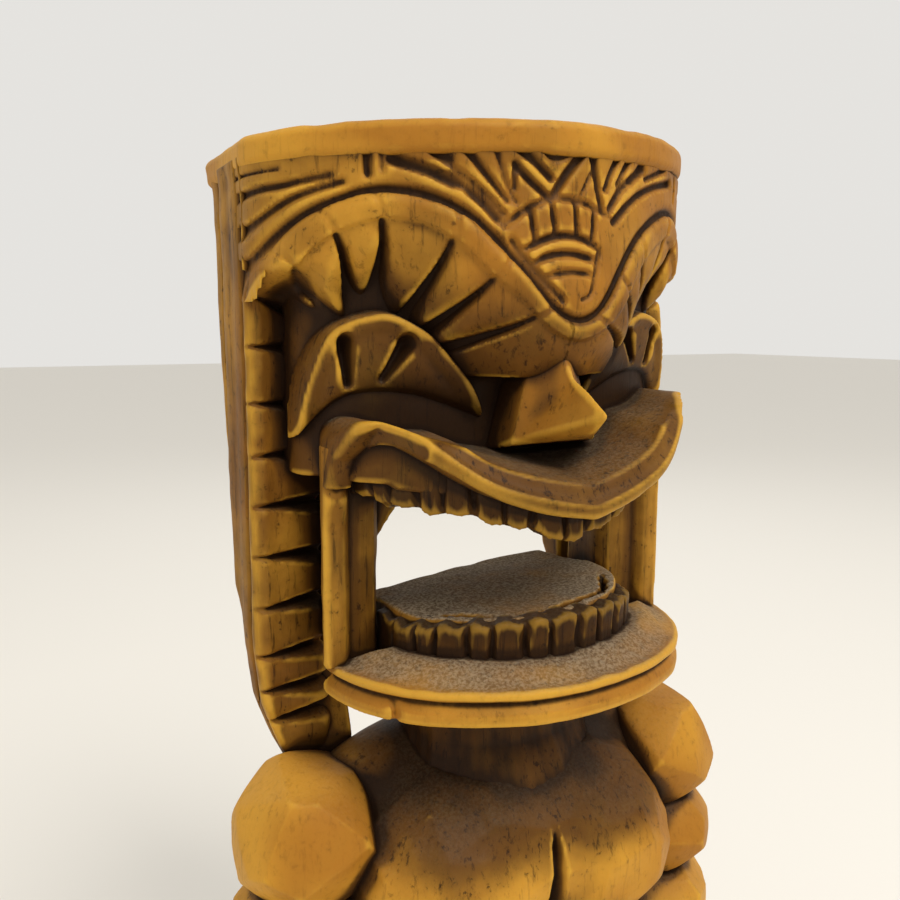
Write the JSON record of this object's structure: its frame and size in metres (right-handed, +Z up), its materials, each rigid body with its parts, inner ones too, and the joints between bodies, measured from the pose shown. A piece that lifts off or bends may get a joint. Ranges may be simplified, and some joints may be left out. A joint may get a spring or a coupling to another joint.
{
  "type": "tiki figure",
  "caption": "Standing carved tiki figure with a tall notched head, a wide open mouth with teeth and a see-through gap, stepped arms and a round base.",
  "frame": {"origin": "middle of the base's flat underside", "axes": "+Z up along the figure's height, -Y the way the face looks, +X towards the figure's own left hand"},
  "size_m": [0.07, 0.048, 0.15],
  "materials": {
    "polished": "amber cast resin, worn bright on raised edges, satin",
    "stained": "amber cast resin under a brown stain that fills the recesses, satin",
    "dusty": "cast resin under a dull greyish-brown stain on faces that look up, matte"
  },
  "bodies": {
    "root": {"crown_rim": "polished", "forehead_panel": "polished", "mane_right": "polished", "mane_left": "polished", "cranium": "stained", "eye_right": "polished", "eye_left": "polished", "nose": "polished", "upper_lip": "polished", "upper_teeth": "stained", "lip_post_right": "polished", "lip_post_left": "polished", "hair_fall_right": "stained", "hair_fall_left": "stained", "tongue": "dusty", "lower_teeth": "stained", "lower_lip_top_ledge": "polished", "lower_lip_bottom_ledge": "polished", "neck": "stained", "chest": "polished", "belly": "polished", "shoulder_right": "polished", "shoulder_left": "polished", "upper_arm_right": "polished", "upper_arm_left": "polished", "forearm_right": "polished", "forearm_left": "polished", "hand_right": "polished", "hand_left": "polished", "loincloth": "stained", "thigh_right": "polished", "thigh_left": "polished", "calf_right": "polished", "calf_left": "polished", "foot_right": "polished", "foot_left": "polished", "base": "stained"}
  },
  "joints": []
}
